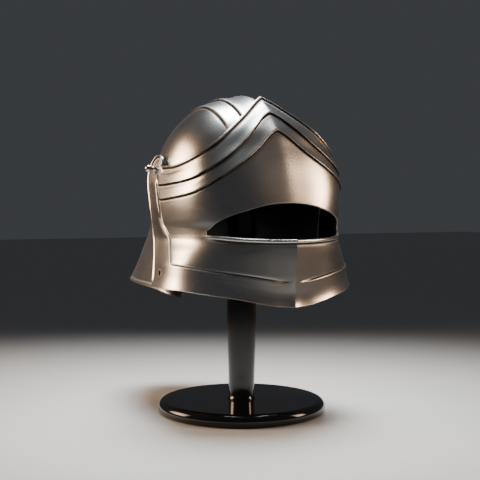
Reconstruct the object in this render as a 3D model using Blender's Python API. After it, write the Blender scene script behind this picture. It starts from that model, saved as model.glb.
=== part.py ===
"""Visored sallet helmet on a round display stand.

Metres, +Z up. The helmet faces -Y, and the wearer's left is +X. The middle of the stand's
underside is at the origin. The visor swings about the two pivots at the ears.
"""
import math

import bmesh
import bpy
import numpy as np
from mathutils import Vector

# Stand
BASE_DIAMETER = 0.200
BASE_THICKNESS = 0.015
BASE_EDGE_ROUND = 0.0050
BASE_CORNER_ROUND = 0.0015
POST_FOOT_DIAMETER = 0.030
POST_NECK_DIAMETER = 0.035
POST_NECK_HEIGHT = 0.110
REST_DIAMETER = 0.076
REST_THICKNESS = 0.010
REST_CLEARANCE = 0.0010
REST_LIP = 0.0020
FIT_GAP = 0.0003

# Helmet plates
PLATE = 0.0018
SECTION_CENTRE_Y = 0.010

# Bowl
BOWL_HALF_WIDTH = 0.097
BOWL_FRONT_REACH = 0.100
BOWL_REAR_REACH = 0.118
BOWL_WIDEST_HEIGHT = 0.259
BOWL_DOME_HEIGHT = 0.1135
BOWL_FRONT_CURVE = 2.10
BOWL_REAR_CURVE = 2.05
BOWL_RIM_HEIGHT = 0.150
BOWL_CORNER_DROP = 0.009
BOWL_CORNER_AZIMUTH = 68.0
BOWL_BROW_HEIGHT = 0.322
BOWL_TIP_AZIMUTH = 170.0
BOWL_RIM_BEAD = 0.0012
BOWL_CREST = 0.0034
BOWL_FLUTE_FADE = 0.80
BOWL_FLUTE_CLOSING = 0.65

# Skirt of the bowl, from its widest level down: drop as a share of the drop to the rim, and
# half width, front reach and rear reach as shares of the dome's
SKIRT_COLUMNS = ("drop", "side", "front", "rear")
SKIRT = (
    (0.000, 1.000, 1.000, 1.00),
    (0.180, 1.000, 1.037, 1.03),
    (0.290, 0.992, 1.020, 1.08),
    (0.415, 0.986, 1.010, 1.20),
    (0.570, 0.994, 1.000, 1.40),
    (0.770, 1.020, 0.990, 1.60),
    (1.000, 1.060, 0.981, 1.83),
    (1.100, 1.067, 0.981, 1.89),
)

# Crest and flutes across the bowl, each side: turn from the middle in degrees at the brow, and
# height of the surface above the plain dome as a share of the crest's height
FLUTE_COLUMNS = ("turn", "height")
FLUTES = (
    (0.0, 1.00),
    (1.6, 0.55),
    (4.6, 0.30),
    (7.6, 0.62),
    (8.4, 0.70),
    (9.4, 0.08),
    (11.5, 0.14),
    (13.6, 0.54),
    (14.4, 0.62),
    (15.4, 0.00),
)
BOWL_SIDE_TURNS = (22.0, 30.0, 38.0, 46.0, 54.0, 62.0, 70.0, 78.0, 84.5, 87.4, 88.5, 90.0)
BOWL_STEPS = (
    0.0, 0.04, 0.08, 0.12, 0.16, 0.20, 0.24, 0.28, 0.325, 0.37, 0.415, 0.46, 0.505,
    0.55, 0.595, 0.64, 0.685, 0.73, 0.775, 0.82, 0.865, 0.91, 0.955, 0.978, 0.987, 1.0,
)

# Visor
VISOR_BOTTOM = 0.134
VISOR_HEIGHT = 0.237
VISOR_REACH = 0.120
VISOR_HALF_WIDTH = 0.104
VISOR_REAR_REACH = 0.118
KEEL = 0.0065
KEEL_SPREAD = 9.0
JAW_BULGE = 0.0080
JAW_AZIMUTH = 62.0
JAW_SPREAD = 20.0
RIDGE = 0.0020
RIDGE_FOOT = 0.0034
RIM_BEAD = 0.0016
RIM_BEAD_WIDTH = 0.0052
LIP = 0.0020
LIP_HEIGHT = 0.0050
PANEL_STEP = 0.0014
STEP_WIDTH = 0.0030
LOWER_FLARE = 0.0022
LOWER_FLARE_HEIGHT = 0.0075
SIGHT_TIP_AZIMUTH = 46.0
FRONT_AZIMUTH = 60.0
APEX_ROUND = 1.5

# Level sections of the visor: height as a share of its own height, then front reach, half
# width, keel and jaw bulge as shares of the named ones, with the power of the outline
SECTION_COLUMNS = ("height", "front", "side", "power", "keel", "jaw")
VISOR_SECTIONS = (
    (0.000, 1.000, 1.085, 2.40, 0.80, 0.80),
    (0.068, 1.008, 1.072, 2.45, 0.85, 0.90),
    (0.180, 1.018, 1.030, 2.60, 1.00, 1.00),
    (0.250, 1.026, 1.000, 2.75, 1.05, 0.60),
    (0.315, 1.033, 0.983, 2.90, 1.00, 0.05),
    (0.360, 1.000, 0.986, 3.10, 0.35, 0.00),
    (0.405, 0.985, 0.994, 3.30, 0.10, 0.00),
    (0.470, 0.970, 1.000, 3.50, 0.00, 0.00),
    (0.560, 0.930, 0.992, 3.60, 0.00, 0.00),
    (0.620, 0.895, 0.978, 3.75, 0.00, 0.00),
    (0.680, 0.850, 0.948, 3.90, 0.02, 0.00),
    (0.740, 0.798, 0.906, 4.00, 0.06, 0.00),
    (0.815, 0.730, 0.838, 4.00, 0.12, 0.00),
    (0.885, 0.635, 0.735, 4.00, 0.16, 0.00),
    (0.945, 0.530, 0.620, 3.80, 0.20, 0.00),
    (1.010, 0.395, 0.480, 3.40, 0.20, 0.00),
)

# Lines across the visor: azimuth from the keel in degrees, then the height of each line as a
# share of the visor's height
LINE_COLUMNS = ("azimuth", "rim", "ridge_high", "ridge_low", "sight_top", "sight_foot", "step", "edge")
VISOR_LINES = (
    (0.0, 1.000, 0.916, 0.831, 0.481, 0.314, 0.124, 0.000),
    (9.0, 0.975, 0.883, 0.785, 0.476, 0.314, 0.127, 0.006),
    (17.0, 0.945, 0.833, 0.730, 0.464, 0.316, 0.132, 0.019),
    (22.0, 0.918, 0.796, 0.697, 0.452, 0.318, 0.136, 0.029),
    (28.0, 0.880, 0.747, 0.660, 0.436, 0.321, 0.141, 0.041),
    (35.0, 0.826, 0.693, 0.617, 0.413, 0.326, 0.147, 0.052),
    (41.0, 0.774, 0.654, 0.583, 0.385, 0.331, 0.153, 0.060),
    (46.0, 0.742, 0.629, 0.557, 0.355, 0.335, 0.158, 0.066),
    (52.0, 0.709, 0.602, 0.534, 0.357, 0.337, 0.164, 0.073),
    (60.0, 0.681, 0.586, 0.519, 0.361, 0.336, 0.170, 0.078),
    (70.0, 0.663, 0.577, 0.509, 0.366, 0.333, 0.177, 0.079),
    (80.0, 0.656, 0.572, 0.502, 0.370, 0.330, 0.181, 0.077),
    (95.0, 0.655, 0.568, 0.497, 0.376, 0.326, 0.184, 0.070),
    (112.0, 0.655, 0.562, 0.491, 0.384, 0.318, 0.186, 0.066),
)

# Rear edge and the border ridge ahead of it: height as a share of the visor's height, distance
# of each behind the section centre as a share of the half width
REAR_COLUMNS = ("height", "edge", "border")
VISOR_REAR = (
    (0.060, 0.020, -0.290),
    (0.180, 0.075, -0.265),
    (0.250, 0.120, -0.215),
    (0.338, 0.183, -0.130),
    (0.397, 0.202, -0.045),
    (0.473, 0.250, 0.010),
    (0.549, 0.315, 0.095),
    (0.616, 0.338, 0.150),
    (0.660, 0.336, 0.172),
    (0.730, 0.300, 0.180),
)
VISOR_FRONT_STEPS = (0.0, 2.0, 6.0, 12.0, 18.0, 24.0, 30.0, 36.0, 41.0, 44.0, 46.0, 50.0, 60.0)
VISOR_CHEEK_STEPS = (0.22, 0.44, 0.60, 0.72, 0.84, 0.95, 1.0)
VISOR_REAR_STEPS = (0.30, 0.60, 0.88, 1.0)

# Pivots
PIVOT_Y = 0.028
PIVOT_HEIGHT = 0.288
EAR_HEIGHT = 0.0165
EAR_HALF_LENGTH = 0.0165
EAR_LEAD = 0.0030
EAR_BLEND = 0.006
SHANK_DIAMETER = 0.0050
KNOB_DIAMETER = 0.0095
KNOB_LENGTH = 0.0125
KNOB_NECK_DIAMETER = 0.0068
INNER_HEAD_DIAMETER = 0.011
INNER_HEAD_THICKNESS = 0.0016
PIVOT_SEGMENTS = 16
LACE_HOLE_DIAMETER = 0.0036
LACE_HOLE_Y = -0.012
LACE_HOLE_HEIGHT = 0.169
ROUND_SEGMENTS = 44

# Derived
CROWN_HEIGHT = BOWL_WIDEST_HEIGHT + BOWL_DOME_HEIGHT


def clear_scene():
    """Empty the file of objects before the part is made."""
    for thing in list(bpy.data.objects):
        bpy.data.objects.remove(thing, do_unlink=True)


def column(table, names, name):
    """One named column of a table as an array."""
    return np.array([row[names.index(name)] for row in table], dtype=float)


def smooth(positions, values, at):
    """Cubic value through the knots without overshoot, held to the first and last knot."""
    x = np.asarray(positions, dtype=float)
    y = np.asarray(values, dtype=float)
    rise = np.diff(y) / np.diff(x)
    slope = np.zeros_like(y)
    slope[0], slope[-1] = rise[0], rise[-1]
    product = rise[:-1] * rise[1:]
    total = np.where(product > 0, rise[:-1] + rise[1:], 1.0)
    slope[1:-1] = np.where(product > 0, 2.0 * product / total, 0.0)
    at = np.clip(at, x[0], x[-1])
    i = np.clip(np.searchsorted(x, at) - 1, 0, len(x) - 2)
    width = x[i + 1] - x[i]
    t = (at - x[i]) / width
    near = (1 + 2 * t) * (1 - t) ** 2 * y[i] + t * (1 - t) ** 2 * width * slope[i]
    far = t * t * (3 - 2 * t) * y[i + 1] + t * t * (t - 1) * width * slope[i + 1]
    return near + far


def rounded(azimuth, front, side, rear, power):
    """Radius of a rounded outline at an azimuth from the front, in radians."""
    ahead = np.cos(azimuth)
    reach = np.where(ahead > 0, front, rear)
    across = np.abs(np.sin(azimuth)) / side
    along = np.abs(ahead) / reach
    return (across ** power + along ** power) ** (-1.0 / power)


def bowl_radius(azimuth, height):
    """Radius of the bowl's plain outer face about the section centre."""
    drop = (BOWL_WIDEST_HEIGHT - height) / (BOWL_WIDEST_HEIGHT - BOWL_RIM_HEIGHT)
    knots = column(SKIRT, SKIRT_COLUMNS, "drop")
    side = BOWL_HALF_WIDTH * smooth(knots, column(SKIRT, SKIRT_COLUMNS, "side"), drop)
    front = BOWL_FRONT_REACH * smooth(knots, column(SKIRT, SKIRT_COLUMNS, "front"), drop)
    rear = BOWL_REAR_REACH * smooth(knots, column(SKIRT, SKIRT_COLUMNS, "rear"), drop)
    rise = np.clip((height - BOWL_WIDEST_HEIGHT) / BOWL_DOME_HEIGHT, 0.0, 1.0)
    share = 0.5 + 0.5 * np.cos(azimuth)
    curve = BOWL_REAR_CURVE + (BOWL_FRONT_CURVE - BOWL_REAR_CURVE) * share
    dome = np.maximum(1.0 - rise ** curve, 0.0) ** (1.0 / curve)
    return dome * rounded(azimuth, front, side, rear, 2.0)


def bowl_rim_height(azimuth):
    """Height of the bowl's lower rim, which dips towards the front corner."""
    low = math.radians(BOWL_CORNER_AZIMUTH)
    t = np.clip((azimuth - low) / math.radians(50.0), 0.0, 1.0)
    return BOWL_RIM_HEIGHT - BOWL_CORNER_DROP * (1.0 - t) ** 2


def drawn_in(steps, turns):
    """Turn of each point of the bowl's grid in radians; the flutes close up towards the tail."""
    turns = np.asarray(turns)[None, :]
    closing = BOWL_FLUTE_CLOSING * np.asarray(steps)[:, None]
    return np.radians(turns * (1.0 - closing * (1.0 - turns / 90.0)))


def bowl_grid(steps, turns):
    """Points of the bowl: one arch for each step from brow to tail, from right rim to left rim."""
    azimuths = np.radians(np.linspace(BOWL_CORNER_AZIMUTH, BOWL_TIP_AZIMUTH, 400))
    heights = bowl_rim_height(azimuths)
    radii = bowl_radius(azimuths, heights)
    edge = np.stack([radii * np.sin(azimuths), SECTION_CENTRE_Y - radii * np.cos(azimuths), heights], 1)
    sweep = np.linspace(BOWL_BROW_HEIGHT, CROWN_HEIGHT - 1e-5, 300)
    over = np.stack([SECTION_CENTRE_Y - bowl_radius(0.0, sweep), sweep], 1)
    fall = np.linspace(CROWN_HEIGHT - 1e-5, BOWL_RIM_HEIGHT, 600)
    behind = np.stack([SECTION_CENTRE_Y + bowl_radius(math.pi, fall), fall], 1)
    middle = np.concatenate([over, behind])

    def spaced(line, share):
        lengths = np.concatenate([[0.0], np.cumsum(np.linalg.norm(np.diff(line, axis=0), axis=1))])
        return np.stack([np.interp(np.asarray(share) * lengths[-1], lengths, part) for part in line.T], 1)

    ends = spaced(edge, steps)
    tops = spaced(middle, steps)
    centre = ends[:, 1:]
    lift = tops - centre
    lift = lift / np.linalg.norm(lift, axis=1, keepdims=True)
    turn = drawn_in(steps, turns)

    def at(distance):
        across = distance * np.sin(turn)
        y = centre[:, :1] + distance * np.cos(turn) * lift[:, :1]
        z = centre[:, 1:] + distance * np.cos(turn) * lift[:, 1:]
        return across, y, z

    def outside(distance):
        across, y, z = at(distance)
        ahead = SECTION_CENTRE_Y - y
        azimuth = np.arctan2(across, ahead)
        return (np.hypot(across, ahead) > bowl_radius(azimuth, z)) | (z > CROWN_HEIGHT)

    shape = turn.shape
    low = np.zeros(shape)
    high = np.full(shape, 0.30)
    found = np.zeros(shape, dtype=bool)
    for distance in np.arange(0.004, 0.30, 0.004):
        now = outside(np.full(shape, distance)) & ~found
        high[now] = distance
        low[now] = distance - 0.004
        found |= now
    for _ in range(26):
        between = (low + high) / 2
        far = outside(between)
        high = np.where(far, between, high)
        low = np.where(far, low, between)
    across, y, z = at((low + high) / 2)
    half = np.stack([across, y, z], 2)
    half[:, -1] = ends
    half[:, 0] = np.concatenate([np.zeros((len(ends), 1)), tops], 1)
    other = half[:, :0:-1] * np.array([-1.0, 1.0, 1.0])
    return np.concatenate([other, half], 1)


def bowl_rise(steps, turns):
    """Height of crest, flutes and turned rim above the bowl's plain face, as the grid is laid."""
    steps = np.asarray(steps)[:, None]
    turns = np.concatenate([np.asarray(turns)[:0:-1], np.asarray(turns)])[None, :]
    knots = column(FLUTES, FLUTE_COLUMNS, "turn")
    shares = column(FLUTES, FLUTE_COLUMNS, "height")
    across = np.interp(turns, knots, shares, right=0.0)
    fade = np.clip((BOWL_FLUTE_FADE - steps) / 0.25, 0.0, 1.0) * np.clip(steps / 0.09, 0.2, 1.0)
    ridges = BOWL_CREST * across * fade * fade * (3 - 2 * fade)
    side = np.clip((turns - 87.0) / 1.3, 0.0, 1.0)
    tail = np.clip((steps - 0.975) / 0.01, 0.0, 1.0)
    return ridges + BOWL_RIM_BEAD * np.maximum(side, tail)


def visor_point(azimuth, height):
    """Points of the visor's plain outer face."""
    share = (height - VISOR_BOTTOM) / VISOR_HEIGHT
    knots = column(VISOR_SECTIONS, SECTION_COLUMNS, "height")

    def part(name):
        return smooth(knots, column(VISOR_SECTIONS, SECTION_COLUMNS, name), share)

    side = VISOR_HALF_WIDTH * part("side")
    radius = rounded(azimuth, VISOR_REACH * part("front"), side, VISOR_REAR_REACH, part("power"))
    turn = np.abs(np.degrees(azimuth))
    radius = radius + KEEL * part("keel") * np.exp(-turn / KEEL_SPREAD)
    radius = radius + JAW_BULGE * part("jaw") * np.exp(-((turn - JAW_AZIMUTH) / JAW_SPREAD) ** 2)
    return np.stack([radius * np.sin(azimuth), SECTION_CENTRE_Y - radius * np.cos(azimuth), height], -1)


def azimuth_at(behind, height):
    """Azimuth at which the visor lies the given distance behind the section centre."""
    azimuth = np.full(np.shape(height), math.pi / 2)
    for _ in range(12):
        point = visor_point(azimuth, height)
        radius = np.hypot(point[..., 0], point[..., 1] - SECTION_CENTRE_Y)
        azimuth = np.arccos(np.clip(-behind / radius, -1.0, 1.0))
    return azimuth


def visor_line(name, azimuth):
    """Height of a named line of the visor at an azimuth in radians, with its point rounded."""
    knots = column(VISOR_LINES, LINE_COLUMNS, "azimuth")
    turn = np.hypot(np.degrees(azimuth), APEX_ROUND)
    share = smooth(knots, column(VISOR_LINES, LINE_COLUMNS, name), turn)
    return VISOR_BOTTOM + VISOR_HEIGHT * share


def rear_line(name, height):
    """Distance of the rear edge or of its border behind the section centre at a height."""
    knots = column(VISOR_REAR, REAR_COLUMNS, "height")
    share = (height - VISOR_BOTTOM) / VISOR_HEIGHT
    return VISOR_HALF_WIDTH * smooth(knots, column(VISOR_REAR, REAR_COLUMNS, name), share)


def visor_azimuth(place, height):
    """Azimuth of a mesh column: 0 to 1 is the front, 1 to 2 the cheek, 2 to 3 the rear border."""
    border = azimuth_at(rear_line("border", height), height)
    edge = azimuth_at(rear_line("edge", height), height)
    front = math.radians(FRONT_AZIMUTH)
    cheek = np.clip(place - 1.0, 0.0, 1.0)
    rear = np.clip(place - 2.0, 0.0, 1.0)
    return front * np.minimum(place, 1.0) + (border - front) * cheek + (edge - border) * rear


def ear_height(height, place, azimuth):
    """Height of the visor's upper rim with the ear's round lobe blended on behind the cheek."""
    point = visor_point(azimuth, height)
    off = (point[..., 1] - PIVOT_Y + EAR_LEAD) / EAR_HALF_LENGTH
    lobe = PIVOT_HEIGHT + EAR_HEIGHT * np.sqrt(np.maximum(1.0 - off ** 2, 0.0))
    over = lobe - height
    mixed = height + EAR_BLEND * (np.clip(over / EAR_BLEND, -1.0, 1.0) + 1.0) ** 2 / 4.0
    raised = np.where(over > EAR_BLEND, lobe, np.where(over < -EAR_BLEND, height, mixed))
    return np.where(place > 1.0 + VISOR_CHEEK_STEPS[1], raised, height)


def visor_rows():
    """Rows of the visor from its rim down: line, height over it, share of the way to the next, rise."""
    return (
        ("rim", 0.0, 0.0, RIM_BEAD * 0.4),
        ("rim", -RIM_BEAD_WIDTH * 0.35, 0.0, RIM_BEAD),
        ("rim", -RIM_BEAD_WIDTH * 0.70, 0.0, RIM_BEAD * 0.9),
        ("rim", -RIM_BEAD_WIDTH, 0.0, 0.0),
        ("ridge_high", RIDGE_FOOT, 0.0, 0.0),
        ("ridge_high", 0.0, 0.0, RIDGE),
        ("ridge_high", -RIDGE_FOOT * 0.6, 0.0, 0.0),
        ("ridge_low", RIDGE_FOOT, 0.0, 0.0),
        ("ridge_low", 0.0, 0.0, RIDGE),
        ("ridge_low", -RIDGE_FOOT * 0.6, 0.0, 0.0),
        ("ridge_low", 0.0, 0.18, 0.0),
        ("ridge_low", 0.0, 0.36, 0.0),
        ("ridge_low", 0.0, 0.54, 0.0),
        ("ridge_low", 0.0, 0.72, 0.0),
        ("ridge_low", 0.0, 0.87, 0.0),
        ("sight_top", 0.0, 0.0, 0.0),
        ("sight_foot", 0.0, 0.0, LIP * 0.7),
        ("sight_foot", -LIP_HEIGHT * 0.4, 0.0, LIP),
        ("sight_foot", -LIP_HEIGHT * 0.8, 0.0, LIP * 0.8),
        ("sight_foot", -LIP_HEIGHT, 0.0, 0.0),
        ("sight_foot", -LIP_HEIGHT, 0.35, 0.0),
        ("sight_foot", -LIP_HEIGHT, 0.70, 0.0),
        ("step", STEP_WIDTH * 0.5, 0.0, 0.0),
        ("step", -STEP_WIDTH * 0.5, 0.0, PANEL_STEP),
        ("edge", LOWER_FLARE_HEIGHT * 2.0, 0.0, PANEL_STEP),
        ("edge", LOWER_FLARE_HEIGHT, 0.0, PANEL_STEP),
        ("edge", LOWER_FLARE_HEIGHT * 0.4, 0.0, PANEL_STEP + LOWER_FLARE * 0.5),
        ("edge", 0.0, 0.0, PANEL_STEP + LOWER_FLARE),
    )


NEXT_LINE = {"ridge_low": "sight_top", "sight_foot": "step"}


def visor_grid(places, rows):
    """Points of the visor, their rise above the plain face, and the cells that the sight leaves out."""
    places = np.concatenate([-np.asarray(places)[:0:-1], np.asarray(places)])
    place = np.abs(places)
    points = np.zeros((len(rows), len(places), 3))
    rises = np.zeros((len(rows), len(places)))
    for index, (name, shift, share, rise) in enumerate(rows):
        azimuth = visor_azimuth(place, np.full(place.shape, PIVOT_HEIGHT))
        for _ in range(8):
            height = visor_line(name, azimuth)
            if name == "rim":
                height = ear_height(height, place, azimuth)
            height = height + shift
            if share:
                height = height + share * (visor_line(NEXT_LINE[name], azimuth) - height)
            azimuth = visor_azimuth(place, height)
        point = visor_point(azimuth, height)
        point[:, 0] *= np.sign(places)
        points[index] = point
        rises[index] = rise
    fade = np.clip((2.0 - place) / 0.30, 0.0, 1.0)
    near = np.clip(place * FRONT_AZIMUTH / 5.0, 0.0, 1.0)
    border = np.clip((place - 1.95) / 0.05, 0.0, 1.0)
    tip = SIGHT_TIP_AZIMUTH / FRONT_AZIMUTH
    reach = {
        "ridge_high": fade,
        "ridge_low": fade,
        "sight_foot": np.clip((tip + 0.07 - place) / 0.06, 0.0, 1.0),
        "step": near,
    }
    for index, row in enumerate(rows):
        rises[index] *= reach.get(row[0], 1.0)
        if row[0] not in ("rim", "edge"):
            rises[index] = np.maximum(rises[index], PANEL_STEP * border)
    cells = np.ones((len(rows) - 1, len(places) - 1), dtype=bool)
    upper = [row[0] for row in rows].index("sight_foot") - 1
    centres = np.abs(places[:-1] + places[1:]) / 2
    cells[upper, centres < tip] = False
    return points, rises, cells


def grid_normals(points):
    """Unit normals of a grid of points, by the differences along rows and columns."""
    down = np.gradient(points, axis=0)
    along = np.gradient(points, axis=1)
    normal = np.cross(down, along)
    return normal / np.maximum(np.linalg.norm(normal, axis=2, keepdims=True), 1e-12)


def shell(name, points, rises, cells, thickness, origin, flip):
    """Closed plate between a grid's face, raised by its rises, and the same face set in."""
    normals = grid_normals(points) * (-1.0 if flip else 1.0)
    outer = points + normals * rises[..., None]
    inner = points - normals * thickness
    rows, columns = rises.shape
    mesh = bmesh.new()
    used = np.zeros((rows, columns), dtype=bool)
    for i, j in zip(*np.nonzero(cells)):
        used[i:i + 2, j:j + 2] = True
    faces = []
    for layer in (outer, inner):
        table = {}
        for i, j in zip(*np.nonzero(used)):
            table[i, j] = mesh.verts.new(Vector(layer[i, j]) - origin)
        faces.append(table)
    out, back = faces
    for i, j in zip(*np.nonzero(cells)):
        ring = [(i, j), (i + 1, j), (i + 1, j + 1), (i, j + 1)]
        mesh.faces.new([out[k] for k in ring])
        mesh.faces.new([back[k] for k in reversed(ring)])
        sides = ((i, j - 1), (i + 1, j), (i, j + 1), (i - 1, j))
        for side, beside in enumerate(sides):
            inside = 0 <= beside[0] < rows - 1 and 0 <= beside[1] < columns - 1
            if inside and cells[beside]:
                continue
            a, b = ring[side], ring[(side + 1) % 4]
            mesh.faces.new([out[b], out[a], back[a], back[b]])
    bmesh.ops.recalc_face_normals(mesh, faces=mesh.faces[:])
    return finish(name, mesh, origin)


def finish(name, mesh, origin):
    """Turn a bmesh into an object of the scene."""
    data = bpy.data.meshes.new(name)
    mesh.to_mesh(data)
    mesh.free()
    thing = bpy.data.objects.new(name, data)
    thing.location = origin
    bpy.context.scene.collection.objects.link(thing)
    return thing


def turned(name, profile, segments, origin, axis="Z", direction=1.0):
    """Solid turned about an axis from pairs of radius and distance along it."""
    mesh = bmesh.new()
    rings = []
    for radius, along in profile:
        ring = []
        count = 1 if radius == 0.0 else segments
        for k in range(count):
            angle = 2 * math.pi * k / segments
            a, b = radius * math.cos(angle), radius * math.sin(angle)
            place = (a, b, along) if axis == "Z" else (direction * along, a, b)
            ring.append(mesh.verts.new(place))
        rings.append(ring)
    for low, high in zip(rings, rings[1:]):
        for k in range(segments):
            n = (k + 1) % segments
            corners = [low[k % len(low)], low[n % len(low)], high[n % len(high)], high[k % len(high)]]
            unique = list(dict.fromkeys(corners))
            if len(unique) > 2:
                mesh.faces.new(unique)
    bmesh.ops.recalc_face_normals(mesh, faces=mesh.faces[:])
    return finish(name, mesh, origin)


def arc(radius, centre_radius, centre_along, start, stop, steps):
    """Profile points on a circle, angles in degrees from the outward direction."""
    points = []
    for k in range(steps + 1):
        angle = math.radians(start + (stop - start) * k / steps)
        points.append((centre_radius + radius * math.cos(angle), centre_along + radius * math.sin(angle)))
    return points


def make_base():
    """Round foot of the stand."""
    edge = BASE_DIAMETER / 2
    low = arc(BASE_EDGE_ROUND, edge - BASE_EDGE_ROUND, BASE_EDGE_ROUND, -90, 0, 3)
    high = arc(BASE_EDGE_ROUND, edge - BASE_EDGE_ROUND, BASE_THICKNESS - BASE_EDGE_ROUND, 0, 90, 3)
    profile = [(0.0, 0.0), *low, *high, (0.0, BASE_THICKNESS)]
    return turned("stand_base", profile, ROUND_SEGMENTS, Vector((0, 0, 0)))


def under_crown(x, y):
    """Height of the rest's top, which follows the bowl's inner face just under it."""
    ahead = SECTION_CENTRE_Y - y
    azimuth = math.atan2(abs(x), ahead)
    outline = float(bowl_radius(azimuth, BOWL_WIDEST_HEIGHT))
    share = 0.5 + 0.5 * math.cos(azimuth)
    curve = BOWL_REAR_CURVE + (BOWL_FRONT_CURVE - BOWL_REAR_CURVE) * share
    inside = math.hypot(x, ahead) / (outline - PLATE)
    dome = (1.0 - inside ** curve) ** (1.0 / curve)
    return BOWL_WIDEST_HEIGHT + (BOWL_DOME_HEIGHT - PLATE) * dome - REST_CLEARANCE


def make_post():
    """Slightly tapered post from the foot up into the helmet."""
    foot, neck = POST_FOOT_DIAMETER / 2, POST_NECK_DIAMETER / 2
    low = BASE_THICKNESS + FIT_GAP
    high = under_crown(0.0, 0.0) - REST_THICKNESS - FIT_GAP
    rounding = BASE_CORNER_ROUND
    profile = [(0.0, low), (foot + rounding, low), (foot, low + rounding * 2), (neck, POST_NECK_HEIGHT)]
    profile += [(neck, high), (0.0, high)]
    return turned("stand_post", profile, ROUND_SEGMENTS // 2, Vector((0, 0, 0)))


def make_rest():
    """Domed rest on the post, which carries the bowl."""
    edge = REST_DIAMETER / 2
    low = under_crown(0.0, 0.0) - REST_THICKNESS
    rim = min(under_crown(0.0, edge), under_crown(0.0, -edge), under_crown(edge, 0.0))
    shares = (1.0, 0.75, 0.5, 0.25, 0.0)
    profile = [(0.0, low), (POST_NECK_DIAMETER * 0.6, low), (edge, rim - REST_LIP)]
    rest = turned("stand_rest", profile + [(edge * share, 1.0) for share in shares], ROUND_SEGMENTS // 2,
                  Vector((0, 0, 0)))
    for vertex in rest.data.vertices:
        if vertex.co.z == 1.0:
            vertex.co.z = under_crown(vertex.co.x, vertex.co.y)
    return rest


def pivot_faces():
    """Distances from the middle of the bowl's inner face and the visor's outer face at the pivot."""
    ahead = SECTION_CENTRE_Y - PIVOT_Y
    guess = math.pi / 2
    for _ in range(12):
        inner = float(bowl_radius(guess, PIVOT_HEIGHT))
        guess = math.acos(ahead / inner)
    bowl = inner * math.sin(guess) - PLATE
    azimuth = azimuth_at(-ahead, np.array([PIVOT_HEIGHT]))
    visor = float(visor_point(azimuth, np.array([PIVOT_HEIGHT]))[0, 0])
    return bowl, visor


def make_pivot(name, side):
    """Pivot with its knob outside the visor, its shank, and the head inside the bowl."""
    bowl, visor = pivot_faces()
    shank, knob, neck = SHANK_DIAMETER / 2, KNOB_DIAMETER / 2, KNOB_NECK_DIAMETER / 2
    head = INNER_HEAD_DIAMETER / 2
    start = bowl - PLATE * 1.6
    face = visor + PANEL_STEP + FIT_GAP * 2
    end = face + KNOB_LENGTH
    profile = [(0.0, start - INNER_HEAD_THICKNESS), (head * 0.8, start - INNER_HEAD_THICKNESS)]
    profile += [(head, start - INNER_HEAD_THICKNESS / 2), (head, start), (shank, start), (shank, face)]
    profile += [(neck, face), (neck, face + KNOB_LENGTH * 0.30), (knob, end - knob * 1.5)]
    profile += arc(knob, 0.0, end - knob, 0, 60, 3) + [(0.0, end)]
    return turned(name, profile, PIVOT_SEGMENTS, Vector((0, PIVOT_Y, PIVOT_HEIGHT)), "X", side)


def drill(target, name, diameter, y, height):
    """Bore straight across both sides of a plate."""
    span = VISOR_HALF_WIDTH * 1.5
    cutter = turned(name, [(0.0, -span), (diameter / 2, -span), (diameter / 2, span), (0.0, span)],
                    PIVOT_SEGMENTS, Vector((0, y, height)), "X")
    cutter.hide_render = True
    cutter.display_type = "WIRE"
    cut = target.modifiers.new(name, "BOOLEAN")
    cut.operation = "DIFFERENCE"
    cut.solver = "EXACT"
    cut.object = cutter


def paint(thing, name, colour, metallic, roughness):
    """Give an object its material."""
    material = bpy.data.materials.new(name)
    material.use_nodes = True
    shader = material.node_tree.nodes["Principled BSDF"]
    shader.inputs["Base Color"].default_value = (*colour, 1.0)
    shader.inputs["Metallic"].default_value = metallic
    shader.inputs["Roughness"].default_value = roughness
    material.diffuse_color = (*colour, 1.0)
    thing.data.materials.append(material)


def main():
    clear_scene()
    pivot = Vector((0, PIVOT_Y, PIVOT_HEIGHT))
    hole = SHANK_DIAMETER + 2 * FIT_GAP

    turns = tuple(column(FLUTES, FLUTE_COLUMNS, "turn")) + BOWL_SIDE_TURNS
    points = bowl_grid(BOWL_STEPS, turns)
    rises = bowl_rise(BOWL_STEPS, turns)
    cells = np.ones((points.shape[0] - 1, points.shape[1] - 1), dtype=bool)
    bowl = shell("bowl", points, rises, cells, PLATE, Vector((0, 0, 0)), True)
    drill(bowl, "bowl_pivot_bore", hole, PIVOT_Y, PIVOT_HEIGHT)
    paint(bowl, "bowl_steel", (0.50, 0.50, 0.50), 1.0, 0.30)

    places = [step / FRONT_AZIMUTH for step in VISOR_FRONT_STEPS]
    places += [1.0 + step for step in VISOR_CHEEK_STEPS] + [2.0 + step for step in VISOR_REAR_STEPS]
    points, rises, cells = visor_grid(places, visor_rows())
    visor = shell("visor", points, rises, cells, PLATE, pivot, False)
    drill(visor, "visor_pivot_bore", hole, PIVOT_Y, PIVOT_HEIGHT)
    drill(visor, "visor_lace_bore", LACE_HOLE_DIAMETER, LACE_HOLE_Y, LACE_HOLE_HEIGHT)
    paint(visor, "visor_steel", (0.52, 0.52, 0.52), 1.0, 0.28)

    for name, side in (("pivot_right", -1.0), ("pivot_left", 1.0)):
        paint(make_pivot(name, side), name + "_steel", (0.55, 0.55, 0.55), 1.0, 0.22)
    paint(make_base(), "base_black", (0.012, 0.012, 0.012), 0.0, 0.12)
    paint(make_post(), "post_black", (0.012, 0.012, 0.012), 0.0, 0.15)
    paint(make_rest(), "rest_felt", (0.02, 0.02, 0.02), 0.0, 0.90)


main()
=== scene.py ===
"""Polished steel sallet with its pivoted visor, on a gloss black stand."""
import math

import bmesh
import bpy
import numpy as np
from bpy.props import FloatProperty, FloatVectorProperty, IntProperty, PointerProperty
from mathutils import Matrix, Vector


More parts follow.
